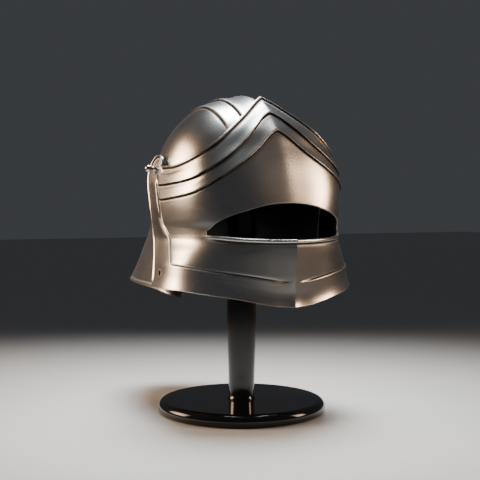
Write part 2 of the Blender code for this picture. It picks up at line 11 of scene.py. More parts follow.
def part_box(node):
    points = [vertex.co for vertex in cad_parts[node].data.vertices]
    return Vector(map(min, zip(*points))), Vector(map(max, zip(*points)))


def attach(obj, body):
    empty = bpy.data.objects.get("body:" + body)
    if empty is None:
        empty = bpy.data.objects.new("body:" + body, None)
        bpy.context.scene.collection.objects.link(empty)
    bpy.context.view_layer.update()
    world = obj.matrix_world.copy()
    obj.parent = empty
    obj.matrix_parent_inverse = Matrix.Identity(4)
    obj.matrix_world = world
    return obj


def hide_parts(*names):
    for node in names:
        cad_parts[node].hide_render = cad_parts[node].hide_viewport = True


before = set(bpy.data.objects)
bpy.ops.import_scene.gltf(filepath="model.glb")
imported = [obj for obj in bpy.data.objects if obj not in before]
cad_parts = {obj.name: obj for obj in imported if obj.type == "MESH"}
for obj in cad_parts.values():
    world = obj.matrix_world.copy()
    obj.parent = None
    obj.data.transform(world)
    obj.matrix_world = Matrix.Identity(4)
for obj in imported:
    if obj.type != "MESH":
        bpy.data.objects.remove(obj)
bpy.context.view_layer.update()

bl_info = {
    "name": "Visored sallet on stand",
    "version": (1, 0, 0),
    "blender": (4, 5, 0),
    "location": "3D View > Sidebar > Sallet",
    "description": "Makes the polished helmet, its visor, its stand and a plain studio",
    "category": "Object",
}


def table(names, *rows):
    """Columns of numbers by name."""
    return dict(zip(names.split(), np.array(rows, dtype=float).T))


# Places that the solids fix
SECTION_CENTRE_Y = 0.010
PIVOT_Y = 0.028
PIVOT_HEIGHT = 0.288
PIVOT_BORE = 0.0056
PLATE = 0.0018
LACE_HOLE_Y = -0.012
LACE_HOLE_HEIGHT = 0.169

# Bowl: the named sizes, and the skirt's level sections as shares of them
BOWL_HALF_WIDTH = 0.097
BOWL_FRONT_REACH = 0.100
BOWL_REAR_REACH = 0.118
BOWL_WIDEST_HEIGHT = 0.259
BOWL_DOME_HEIGHT = 0.1135
BOWL_FRONT_CURVE = 2.10
BOWL_REAR_CURVE = 2.05
BOWL_RIM_HEIGHT = 0.150
BOWL_CORNER_DROP = 0.009
BOWL_CORNER_AZIMUTH = 68.0
BOWL_CORNER_SPREAD = 50.0
BOWL_BROW_HEIGHT = 0.322
BOWL_TIP_AZIMUTH = 170.0
BOWL_FLUTE_CLOSING = 0.65
CROWN_HEIGHT = BOWL_WIDEST_HEIGHT + BOWL_DOME_HEIGHT
SKIRT = table(
    "drop side front rear",
    (0.000, 1.000, 1.000, 1.00), (0.180, 1.000, 1.037, 1.03), (0.290, 0.992, 1.020, 1.08),
    (0.415, 0.986, 1.010, 1.20), (0.570, 0.994, 1.000, 1.40), (0.770, 1.020, 0.990, 1.60),
    (1.000, 1.060, 0.981, 1.83), (1.100, 1.067, 0.981, 1.89),
)

# Crest and flutes, each side: turn from the middle in degrees, height as a share of the crest's,
# and how much painted shade darkens the corner there
FLUTES = table(
    "turn height groove",
    (0.0, 1.00, 0.0), (0.5, 0.93, 0.0), (1.4, 0.66, 0.0), (2.8, 0.38, 0.0), (4.4, 0.28, 0.0),
    (6.2, 0.42, 0.0), (7.7, 0.64, 0.0), (8.25, 0.70, 0.7), (8.45, 0.66, 0.9), (8.65, 0.36, 1.0),
    (8.85, 0.10, 1.0), (9.05, 0.04, 0.8), (9.4, 0.06, 0.0), (10.4, 0.13, 0.0), (12.2, 0.30, 0.0),
    (13.7, 0.54, 0.0), (14.25, 0.62, 0.7), (14.45, 0.58, 0.9), (14.65, 0.28, 1.0),
    (14.85, 0.04, 1.0), (15.05, -0.02, 0.8), (15.4, 0.00, 0.0), (16.6, 0.00, 0.0),
)
FLUTE_LENGTH_FADE = 0.25

# Mesh of the bowl: turns of its columns past the flutes, and places of its arches from brow to tail
SIDE_TURNS = (
    *np.linspace(FLUTES["turn"][-1], 84.0, 42), 85.0, 86.0, 86.9, 87.6, 88.2, 88.7, 89.2, 89.6, 90.0)
ARCHES = (*np.linspace(0.0, 0.965, 132), 0.971, 0.977, 0.982, 0.987, 0.991, 0.995, 1.0)
SEARCH_REACH, SEARCH_STEP, HALVINGS = 0.30, 0.004, 26

# Visor: the named sizes, its level sections, its lines and its rear edge as shares of them
VISOR_BOTTOM = 0.134
VISOR_HEIGHT = 0.237
VISOR_REACH = 0.120
VISOR_HALF_WIDTH = 0.104
VISOR_REAR_REACH = 0.118
KEEL = 0.0065
KEEL_SPREAD = 9.0
RIDGE_ROUND = 5.0
RIDGE_SOFTENS = (0.34, 0.44)
JAW_BULGE = 0.0080
JAW_AZIMUTH = 62.0
JAW_SPREAD = 20.0
SIGHT_TIP_AZIMUTH = 46.0
FRONT_AZIMUTH = 60.0
APEX_ROUND = 2.2
EAR_HEIGHT = 0.0165
EAR_HALF_LENGTH = 0.0165
EAR_LEAD = 0.0030
EAR_BLEND = 0.006
EAR_PLACE = 1.4
VISOR_SECTIONS = table(
    "height front side power keel jaw",
    (0.000, 1.000, 1.085, 2.75, 0.80, 0.80), (0.068, 1.008, 1.072, 2.75, 0.85, 0.90),
    (0.180, 1.018, 1.030, 2.72, 1.00, 1.00), (0.250, 1.026, 1.000, 2.75, 1.05, 0.60),
    (0.315, 1.033, 0.983, 2.65, 1.00, 0.05), (0.360, 1.000, 0.986, 2.75, 0.35, 0.00),
    (0.405, 0.985, 0.994, 2.92, 0.25, 0.00), (0.470, 0.970, 1.000, 3.08, 0.25, 0.00),
    (0.560, 0.930, 0.992, 3.40, 0.25, 0.00), (0.620, 0.895, 0.978, 3.50, 0.25, 0.00),
    (0.680, 0.850, 0.948, 3.60, 0.25, 0.00), (0.740, 0.798, 0.906, 3.68, 0.25, 0.00),
    (0.815, 0.730, 0.838, 3.75, 0.25, 0.00), (0.885, 0.635, 0.735, 3.75, 0.16, 0.00),
    (0.945, 0.530, 0.620, 3.60, 0.20, 0.00), (1.010, 0.395, 0.480, 3.40, 0.20, 0.00),
)
VISOR_LINES = table(
    "azimuth rim ridge_high ridge_low sight_top sight_foot step edge",
    (0.0, 1.000, 0.916, 0.831, 0.481, 0.314, 0.109, 0.000),
    (9.0, 0.975, 0.883, 0.785, 0.476, 0.314, 0.117, 0.006),
    (17.0, 0.945, 0.833, 0.730, 0.464, 0.316, 0.130, 0.019),
    (22.0, 0.918, 0.796, 0.697, 0.452, 0.318, 0.138, 0.029),
    (28.0, 0.880, 0.747, 0.660, 0.436, 0.321, 0.147, 0.041),
    (35.0, 0.826, 0.693, 0.617, 0.413, 0.326, 0.156, 0.052),
    (41.0, 0.774, 0.654, 0.583, 0.385, 0.331, 0.163, 0.060),
    (46.0, 0.742, 0.629, 0.557, 0.355, 0.335, 0.170, 0.066),
    (52.0, 0.709, 0.602, 0.534, 0.357, 0.337, 0.178, 0.073),
    (60.0, 0.681, 0.586, 0.519, 0.361, 0.336, 0.186, 0.078),
    (70.0, 0.663, 0.577, 0.509, 0.366, 0.333, 0.192, 0.079),
    (80.0, 0.656, 0.572, 0.502, 0.370, 0.330, 0.195, 0.077),
    (95.0, 0.655, 0.568, 0.497, 0.376, 0.326, 0.197, 0.070),
    (112.0, 0.655, 0.562, 0.491, 0.384, 0.318, 0.199, 0.066),
)
VISOR_REAR = table(
    "height edge border",
    (0.060, -0.045, -0.470), (0.150, 0.002, -0.460), (0.205, 0.048, -0.421), (0.268, 0.118, -0.308),
    (0.323, 0.176, -0.218), (0.348, 0.187, -0.146), (0.388, 0.199, -0.079), (0.482, 0.240, 0.000),
    (0.573, 0.312, 0.070), (0.616, 0.334, 0.105), (0.660, 0.334, 0.140), (0.730, 0.300, 0.170),
)

# Relief across the visor's lines: metres from the line, height as a share of the named relief,
# and how much painted shade darkens the corner there
RIM_RELIEF = table(
    "off height groove",
    (0.0000, 0.45, 0.0), (0.0005, 0.82, 0.0), (0.0012, 1.00, 0.0), (0.0020, 0.96, 0.0),
    (0.0025, 0.66, 0.8), (0.0030, 0.20, 1.0), (0.0035, -0.06, 1.0), (0.0042, -0.16, 0.9),
    (0.0051, -0.20, 0.3), (0.0062, -0.14, 0.0), (0.0078, 0.00, 0.0),
)
RIDGE_RELIEF = table(
    "off height groove",
    (0.0100, 0.36, 0.0), (0.0070, 0.53, 0.0), (0.0045, 0.70, 0.0), (0.0026, 0.86, 0.0),
    (0.0014, 0.97, 0.0), (0.0006, 1.02, 0.0), (0.0001, 1.00, 0.5), (-0.0003, 0.86, 1.0),
    (-0.0008, 0.42, 1.0), (-0.0013, 0.02, 1.0), (-0.0018, -0.08, 1.0), (-0.0025, -0.05, 0.5),
    (-0.0034, 0.00, 0.0),
)
LIP_RELIEF = table(
    "off height groove",
    (0.0000, 0.25, 0.0), (-0.0004, 0.60, 0.0), (-0.0010, 0.87, 0.0), (-0.0018, 1.00, 0.0),
    (-0.0026, 0.97, 0.0), (-0.0033, 0.84, 0.2), (-0.0039, 0.56, 0.9), (-0.0044, 0.18, 1.0),
    (-0.0050, -0.10, 1.0), (-0.0060, -0.12, 0.8), (-0.0075, 0.00, 0.0),
)
STEP_RELIEF = table(
    "off height groove",
    (0.0042, 0.00, 0.0), (0.0028, -0.06, 0.1), (0.0020, -0.16, 0.6), (0.0014, -0.12, 1.0),
    (0.0009, 0.30, 1.0), (0.0004, 0.84, 0.7), (-0.0002, 1.05, 0.2), (-0.0010, 1.06, 0.0),
    (-0.0022, 1.03, 0.0), (-0.0040, 1.00, 0.0),
)
FLARE = table(
    "off height",
    (0.0000, 1.00), (0.0006, 0.98), (0.0014, 0.89), (0.0025, 0.74), (0.0042, 0.54), (0.0065, 0.34),
    (0.0090, 0.18), (0.0120, 0.06), (0.0155, 0.00),
)
PANEL_CORNER = 0.0045
RIM_END = -RIM_RELIEF["off"][-1]
RIDGE_START, RIDGE_END = RIDGE_RELIEF["off"][[0, -1]]
BROW_ROWS = (0.0036, 0.0022, 0.0012, 0.0005, 0.0)
LIP_END = LIP_RELIEF["off"][-1]
STEP_START, STEP_END = STEP_RELIEF["off"][[0, -1]]

# Pivots: pairs of radius and distance, of the head from its inner face and of the neck from the visor
PIVOT_HEAD = (
    (0.0000, 0.0000), (0.0040, 0.0000), (0.0050, 0.0003), (0.0054, 0.0009),
    (0.0054, 0.0013), (0.0050, 0.0016), (0.0025, 0.0016),
)
PIVOT_NECK = (
    (0.0025, 0.0000), (0.0031, 0.0000), (0.0034, 0.0003), (0.0034, 0.0012),
    (0.0030, 0.0016), (0.0026, 0.0022), (0.0026, 0.0030), (0.0034, 0.0037),
)
KNOB_RADIUS = 0.0042
KNOB_REACH = 0.0125
KNOB_INSET = 0.0020

# Studio: the lights' aim and spread in degrees, the camera's shift along the picture, light colours
LIGHTS_AIM_HEIGHT = 0.26
LIGHT_SPREAD = 46.0
AIM_SHIFT = 0.0018
WARM_LIGHT = (1.0, 0.67, 0.43)
WHITE_LIGHT = (0.93, 0.97, 1.0)

# Where the visor's relief fades: by mesh column (0 keel, 1 front, 2 cheek, 3 rear edge), by share of
# the visor's height, by degrees from the keel, or by metres from a line
RIDGE_ENDS = (1.86, 1.985)
LIP_ENDS = (-0.12, 0.05)
BROW_SHADE = (0.0003, 0.0014)
BAND_KEEL_END = (1.6, 13.0)
BAND_REAR = (1.5, 1.8)
BAND_TOP = (0.565, 0.60)
BAND_FOOT = (-0.008, 0.002)
WAIST_DEPTH = 0.85
WAIST_START, WAIST_STOP = (0.325, 0.36), (0.40, 0.44)
SUNK_DEPTH = 0.85
SUNK_PLACE, SUNK_SHARE = (2.05, 2.75), (0.20, 0.36)
TURNED_LOW, TURNED_TOP = (0.05, 0.27), (0.64, 0.69)
# painted shade round the lace holes, metres from the hole's centre
LACE_SHADE_RING = (0.0034, 0.0046)


# Numbers and curves

BLOCK = 2000


def smooth(positions, values, at):
    """Cubic value through the knots without overshoot, held to the first and last knot."""
    x = np.asarray(positions, dtype=float)
    y = np.asarray(values, dtype=float)
    rise = np.diff(y) / np.diff(x)
    slope = np.zeros_like(y)
    slope[0], slope[-1] = rise[0], rise[-1]
    product = rise[:-1] * rise[1:]
    total = np.where(product > 0, rise[:-1] + rise[1:], 1.0)
    slope[1:-1] = np.where(product > 0, 2.0 * product / total, 0.0)
    at = np.clip(at, x[0], x[-1])
    i = np.clip(np.searchsorted(x, at) - 1, 0, len(x) - 2)
    width = x[i + 1] - x[i]
    t = (at - x[i]) / width
    near = (1 + 2 * t) * (1 - t) ** 2 * y[i] + t * (1 - t) ** 2 * width * slope[i]
    far = t * t * (3 - 2 * t) * y[i + 1] + t * t * (t - 1) * width * slope[i + 1]
    return near + far


def curve_at(rows, name, at):
    """Smooth value of a table's named column at places along its first column."""
    return smooth(next(iter(rows.values())), rows[name], at)


def ease(value, low, high):
    """Soft step from 0 at low to 1 at high."""
    t = np.clip((np.asarray(value, dtype=float) - low) / (high - low), 0.0, 1.0)
    return t * t * (3 - 2 * t)


def rounded(azimuth, front, side, rear, power):
    """Radius of a rounded outline at an azimuth from the front, in radians."""
    ahead = np.cos(azimuth)
    reach = np.where(ahead > 0, front, rear)
    across = np.abs(np.sin(azimuth)) / side
    along = np.abs(ahead) / reach
    return (across ** power + along ** power) ** (-1.0 / power)


def distance_to(points, line):
    """Distance of each point of a grid from a line of points."""
    flat = points.reshape(-1, 3)
    start, step = line[:-1], np.diff(line, axis=0)
    length = np.maximum((step ** 2).sum(1), 1e-14)
    best = np.full(len(flat), 1e9)
    for block in range(0, len(flat), BLOCK):
        part = flat[block:block + BLOCK, None, :] - start[None]
        t = np.clip((part * step[None]).sum(2) / length[None], 0.0, 1.0)
        gap = part - t[..., None] * step[None]
        best[block:block + BLOCK] = np.sqrt((gap ** 2).sum(2).min(1))
    return best.reshape(points.shape[:2])


# Surfaces of the bowl


def bowl_radius(azimuth, height):
    """Radius of the bowl's plain outer face about the section centre."""
    drop = (BOWL_WIDEST_HEIGHT - height) / (BOWL_WIDEST_HEIGHT - BOWL_RIM_HEIGHT)
    side = BOWL_HALF_WIDTH * curve_at(SKIRT, "side", drop)
    front = BOWL_FRONT_REACH * curve_at(SKIRT, "front", drop)
    rear = BOWL_REAR_REACH * curve_at(SKIRT, "rear", drop)
    rise = np.clip((height - BOWL_WIDEST_HEIGHT) / BOWL_DOME_HEIGHT, 0.0, 1.0)
    share = 0.5 + 0.5 * np.cos(azimuth)
    curve = BOWL_REAR_CURVE + (BOWL_FRONT_CURVE - BOWL_REAR_CURVE) * share
    dome = np.maximum(1.0 - rise ** curve, 0.0) ** (1.0 / curve)
    return dome * rounded(azimuth, front, side, rear, 2.0)


def bowl_rim_height(azimuth):
    """Height of the bowl's lower rim, which dips towards the front corner."""
    low = math.radians(BOWL_CORNER_AZIMUTH)
    t = np.clip((azimuth - low) / math.radians(BOWL_CORNER_SPREAD), 0.0, 1.0)
    return BOWL_RIM_HEIGHT - BOWL_CORNER_DROP * (1.0 - t) ** 2


def drawn_in(steps, turns):
    """Turn of each point of the bowl's grid in radians; the flutes close up towards the tail."""
    turns = np.asarray(turns)[None, :]
    closing = BOWL_FLUTE_CLOSING * np.asarray(steps)[:, None]
    return np.radians(turns * (1.0 - closing * (1.0 - turns / 90.0)))


def bowl_grid(steps, turns):
    """Points of the bowl: one arch for each step from brow to tail, from right rim to left rim."""
    azimuths = np.radians(np.linspace(BOWL_CORNER_AZIMUTH, BOWL_TIP_AZIMUTH, 800))
    heights = bowl_rim_height(azimuths)
    radii = bowl_radius(azimuths, heights)
    edge = np.stack([radii * np.sin(azimuths), SECTION_CENTRE_Y - radii * np.cos(azimuths), heights], 1)
    sweep = CROWN_HEIGHT - (CROWN_HEIGHT - BOWL_BROW_HEIGHT) * np.linspace(1.0, 0.0, 500) ** 2
    over = np.stack([SECTION_CENTRE_Y - bowl_radius(0.0, sweep), sweep], 1)
    fall = CROWN_HEIGHT - (CROWN_HEIGHT - BOWL_RIM_HEIGHT) * np.linspace(0.0, 1.0, 1200) ** 2
    behind = np.stack([SECTION_CENTRE_Y + bowl_radius(math.pi, fall), fall], 1)
    middle = np.concatenate([over, behind])

    def spaced(line, share):
        lengths = np.concatenate([[0.0], np.cumsum(np.linalg.norm(np.diff(line, axis=0), axis=1))])
        return np.stack([np.interp(np.asarray(share) * lengths[-1], lengths, part) for part in line.T], 1)

    ends = spaced(edge, steps)
    tops = spaced(middle, steps)
    centre = ends[:, 1:]
    lift = tops - centre
    lift = lift / np.linalg.norm(lift, axis=1, keepdims=True)
    turn = drawn_in(steps, turns)

    def spot(distance):
        up = distance * np.cos(turn)
        return distance * np.sin(turn), centre[:, :1] + up * lift[:, :1], centre[:, 1:] + up * lift[:, 1:]

    def outside(distance):
        across, y, z = spot(distance)
        ahead = SECTION_CENTRE_Y - y
        azimuth = np.arctan2(across, ahead)
        return (np.hypot(across, ahead) > bowl_radius(azimuth, z)) | (z > CROWN_HEIGHT)

    shape = turn.shape
    low, high = np.zeros(shape), np.full(shape, SEARCH_REACH)
    found = np.zeros(shape, dtype=bool)
    for distance in np.arange(SEARCH_STEP, SEARCH_REACH, SEARCH_STEP):
        now = outside(np.full(shape, distance)) & ~found
        high[now], low[now] = distance, distance - SEARCH_STEP
        found |= now
    for _ in range(HALVINGS):
        between = (low + high) / 2
        far = outside(between)
        high = np.where(far, between, high)
        low = np.where(far, low, between)
    half = np.stack(spot((low + high) / 2), 2)
    half[:, -1] = ends
    half[:, 0] = np.concatenate([np.zeros((len(ends), 1)), tops], 1)
    other = half[:, :0:-1] * np.array([-1.0, 1.0, 1.0])
    return np.concatenate([other, half], 1)


# Surfaces of the visor


def visor_point(azimuth, height):
    """Points of the visor's plain outer face."""
    share = (height - VISOR_BOTTOM) / VISOR_HEIGHT
    front, side, power, keel, jaw = (
        curve_at(VISOR_SECTIONS, name, share) for name in ("front", "side", "power", "keel", "jaw"))
    radius = rounded(azimuth, VISOR_REACH * front, VISOR_HALF_WIDTH * side, VISOR_REAR_REACH, power)
    turn = np.abs(np.degrees(azimuth))
    soft = RIDGE_ROUND * ease(share, *RIDGE_SOFTENS)
    radius = radius + KEEL * keel * np.exp((soft - np.hypot(turn, soft)) / KEEL_SPREAD)
    radius = radius + JAW_BULGE * jaw * np.exp(-((turn - JAW_AZIMUTH) / JAW_SPREAD) ** 2)
    return np.stack([radius * np.sin(azimuth), SECTION_CENTRE_Y - radius * np.cos(azimuth), height], -1)


def azimuth_at(behind, height):
    """Azimuth at which the visor lies the given distance behind the section centre."""
    azimuth = np.full(np.shape(height), math.pi / 2)
    for _ in range(12):
        point = visor_point(azimuth, height)
        radius = np.hypot(point[..., 0], point[..., 1] - SECTION_CENTRE_Y)
        azimuth = np.arccos(np.clip(-behind / radius, -1.0, 1.0))
    return azimuth


def visor_line(name, azimuth):
    """Height of a named line of the visor at an azimuth in radians, with its point rounded."""
    turn = np.hypot(np.degrees(azimuth), APEX_ROUND)
    return VISOR_BOTTOM + VISOR_HEIGHT * curve_at(VISOR_LINES, name, turn)


def rear_line(name, height):
    """Distance of the rear edge or of its border behind the section centre at a height."""
    share = (height - VISOR_BOTTOM) / VISOR_HEIGHT
    return VISOR_HALF_WIDTH * curve_at(VISOR_REAR, name, share)


def visor_azimuth(place, height):
    """Azimuth of a mesh column: 0 to 1 is the front, 1 to 2 the cheek, 2 to 3 the rear border."""
    border = azimuth_at(rear_line("border", height), height)
    edge = azimuth_at(rear_line("edge", height), height)
    front = math.radians(FRONT_AZIMUTH)
    cheek = np.clip(place - 1.0, 0.0, 1.0)
    rear = np.clip(place - 2.0, 0.0, 1.0)
    return front * np.minimum(place, 1.0) + (border - front) * cheek + (edge - border) * rear


def ear_height(height, place, azimuth):
    """Height of the visor's upper rim with the ear's round lobe blended on behind the cheek."""
    point = visor_point(azimuth, height)
    off = (point[..., 1] - PIVOT_Y + EAR_LEAD) / EAR_HALF_LENGTH
    lobe = PIVOT_HEIGHT + EAR_HEIGHT * np.sqrt(np.maximum(1.0 - off ** 2, 0.0))
    over = lobe - height
    mixed = height + EAR_BLEND * (np.clip(over / EAR_BLEND, -1.0, 1.0) + 1.0) ** 2 / 4.0
    raised = np.where(over > EAR_BLEND, lobe, np.where(over < -EAR_BLEND, height, mixed))
    return np.where(place > EAR_PLACE, raised, height)


def rows_at(line, offs):
    """Rows of the mesh at distances from a line."""
    return [(line, off, line, off, 0.0) for off in offs]


def rows_between(first, first_off, second, second_off, count):
    """Evenly shared rows between two lines."""
    return [(first, first_off, second, second_off, (k + 1) / (count + 1)) for k in range(count)]


def visor_rows():
    """Rows of the visor from rim to lower edge, each between two lines with offsets and a share."""
    rows = rows_at("rim", -RIM_RELIEF["off"])
    rows += rows_between("rim", RIM_END, "ridge_high", RIDGE_START, 4)
    rows += rows_at("ridge_high", RIDGE_RELIEF["off"])
    rows += rows_between("ridge_high", RIDGE_END, "ridge_low", RIDGE_START, 4)
    rows += rows_at("ridge_low", RIDGE_RELIEF["off"])
    rows += rows_between("ridge_low", RIDGE_END, "sight_top", BROW_ROWS[0], 22)
    rows += rows_at("sight_top", BROW_ROWS)
    upper = len(rows) - 1
    rows += rows_at("sight_foot", LIP_RELIEF["off"])
    rows += rows_between("sight_foot", LIP_END, "step", STEP_START, 12)
    rows += rows_at("step", STEP_RELIEF["off"])
    rows += rows_between("step", STEP_END, "edge", FLARE["off"][-1], 4)
    rows += rows_at("edge", FLARE["off"][::-1])
    return rows, upper


def visor_places():
    """Places of the mesh columns from the keel to the rear edge."""
    front = [0.0, 0.25, 0.6, 1.1, 1.8, 2.7, 3.8, 5.0]
    front += list(np.arange(6.2, 44.0, 1.2)) + [44.2, 45.0, 45.5, SIGHT_TIP_AZIMUTH]
    front += list(np.linspace(47.0, FRONT_AZIMUTH, 11))
    cheek = list(np.linspace(0.0, 0.93, 28)[1:]) + [0.942, 0.954, 0.964, 0.973, 0.981, 0.988, 0.994, 1.0]
    rear = [0.015, 0.03, 0.05, 0.08, 0.12, 0.17, 0.23, 0.30, 0.38, 0.46, 0.54, 0.62, 0.69, 0.76]
    rear += [0.82, 0.87, 0.91, 0.935, 0.955, 0.972, 0.987, 1.0]
    front = [step / FRONT_AZIMUTH for step in front]
    return np.array(front + [1 + step for step in cheek] + [2 + step for step in rear])


def visor_grid():
    """Points of the visor, the place of each column, and the cells that the sight leaves out."""
    rows, upper = visor_rows()
    half = visor_places()
    places = np.concatenate([-half[:0:-1], half])
    place = np.abs(places)
    points = np.zeros((len(rows), len(places), 3))
    for index, (first, first_off, second, second_off, share) in enumerate(rows):
        azimuth = visor_azimuth(place, np.full(place.shape, PIVOT_HEIGHT))
        for _ in range(9):
            ends = []
            for name, off in ((first, first_off), (second, second_off)):
                height = visor_line(name, azimuth)
                if name == "rim":
                    height = ear_height(height, place, azimuth)
                ends.append(height + off)
            height = ends[0] + share * (ends[1] - ends[0])
            azimuth = visor_azimuth(place, height)
        point = visor_point(azimuth, height)
        point[:, 0] *= np.sign(places)
        points[index] = point
    cells = np.ones((len(rows) - 1, len(places) - 1), dtype=bool)
    tip = SIGHT_TIP_AZIMUTH / FRONT_AZIMUTH
    cells[upper, (np.abs(places[:-1] + places[1:]) / 2) < tip] = False
    return points, places, cells


def relief_at(relief, off, name):
    """Value of a relief table at distances from its line."""
    order = np.argsort(relief["off"])
    return np.interp(off, relief["off"][order], relief[name][order])


def visor_relief(points, places, settings):
    """Height of the visor's relief over its plain face, and how much painted shade darkens its creases."""
    place = np.abs(places)[None, :]
    height = points[..., 2]
    share = (height - VISOR_BOTTOM) / VISOR_HEIGHT
    azimuth = np.arctan2(np.abs(points[..., 0]), SECTION_CENTRE_Y - points[..., 1])
    off = {name: height - visor_line(name, azimuth) for name in VISOR_LINES if name != "azimuth"}
    rise = np.zeros(height.shape)
    groove = np.zeros(height.shape)

    # ridges: each band leans out to its crest and steps in under it
    fade = 1.0 - ease(place, *RIDGE_ENDS)
    for name, above, end in (("ridge_high", "rim", RIM_END), ("ridge_low", "ridge_high", RIDGE_END)):
        near = relief_at(RIDGE_RELIEF, off[name], "height")
        depth = end - off[above]
        climb = np.clip(depth / np.maximum(depth + off[name] - RIDGE_START, 1e-4), 0.0, 1.0)
        crest = np.where(off[name] > RIDGE_START, near * climb ** 1.2, near)
        crest = np.where((off[name] < RIDGE_END) | (depth < 0.0), 0.0, crest)
        rise += settings.ridge * crest * fade
        # painted shade under each crest, where the step faces down
        groove = np.maximum(groove, relief_at(RIDGE_RELIEF, off[name], "groove") * fade)

    # the sight's lip and upper edge
    tip = SIGHT_TIP_AZIMUTH / FRONT_AZIMUTH
    fade = 1.0 - ease(place, tip + LIP_ENDS[0], tip + LIP_ENDS[1])
    inside = (off["sight_foot"] <= 1e-6) & (off["sight_foot"] >= LIP_END)
    below = np.where(inside, off["sight_foot"], LIP_END)
    rise += settings.lip * relief_at(LIP_RELIEF, below, "height") * fade * inside
    # painted shade in the groove under the sight's lip
    groove = np.maximum(groove, relief_at(LIP_RELIEF, below, "groove") * fade * inside)
    # painted shade along the sight's upper edge
    brow = (off["sight_top"] >= -1e-6) & (off["sight_top"] < BROW_ROWS[0])
    groove = np.maximum(groove, 0.8 * brow * (1.0 - ease(off["sight_top"], *BROW_SHADE)) * fade)

    # the raised band round the panel, along the lower and the rear edge
    above = off["step"]
    ahead = SECTION_CENTRE_Y - points[..., 1] + rear_line("border", height)
    corner = PANEL_CORNER - np.hypot(
        np.maximum(PANEL_CORNER - above, 0.0), np.maximum(PANEL_CORNER - ahead, 0.0))
    near = (above < PANEL_CORNER) & (ahead < PANEL_CORNER)
    inset = np.where(near, corner, np.minimum(above, ahead))
    clear = ease(place * FRONT_AZIMUTH, *BAND_KEEL_END)
    waist = 1.0 - WAIST_DEPTH * ease(share, *WAIST_START) * (1.0 - ease(share, *WAIST_STOP))
    top = 1.0 - ease(share, *BAND_TOP)
    rear = ease(place, *BAND_REAR)
    strength = (1.0 - rear) * clear + rear * waist * top
    band = relief_at(STEP_RELIEF, inset, "height")
    soft = 1.0 - ease(inset, *BAND_FOOT)
    raised = band * strength + soft * (1.0 - strength) * rear * top
    sunk = SUNK_DEPTH * ease(place, *SUNK_PLACE) * ease(share, *SUNK_SHARE)
    rise += settings.band * raised * (1.0 - sunk)
    # painted shade along the foot of the step
    line = relief_at(STEP_RELIEF, inset, "groove") * strength ** 2 * (1.0 - 0.4 * rear)
    groove = np.maximum(groove, line)

    # flared lower edge and turned rear edges
    flare = settings.flare * relief_at(FLARE, off["edge"], "height")
    low = 1.0 - ease(share, *TURNED_LOW)
    for side in (0, -1):
        gap = distance_to(points, points[:, side])
        turned = 1.0 - ease(gap, 0.0004, 0.0014 + 0.0030 * low)
        turned = turned * (0.0004 + 0.0006 * low) * (1.0 - ease(share, *TURNED_TOP))
        flare = np.maximum(flare, turned)
    rise += flare

    # lace holes with painted shade round them, and the beaded rim with painted shade in its groove
    hole = np.hypot(points[..., 1] - LACE_HOLE_Y, height - LACE_HOLE_HEIGHT)
    groove = np.maximum(groove, 1.0 - ease(hole, *LACE_SHADE_RING))
    gap = distance_to(points, points[0])
    rise += settings.bead * relief_at(RIM_RELIEF, gap, "height")
    groove = np.maximum(groove, relief_at(RIM_RELIEF, gap, "groove"))
    return rise, groove


# Meshes

PLATE_CREASE, TURNED_CREASE = 40.0, 35.0
EDGE_ROUND, WALL_ROUND = 0.30, 0.07
BORE_REACH = 0.16


def normals_of(points):
    """Unit normals of a grid of points."""
    normal = np.cross(np.gradient(points, axis=0), np.gradient(points, axis=1))
    return normal / np.maximum(np.linalg.norm(normal, axis=2, keepdims=True), 1e-12)


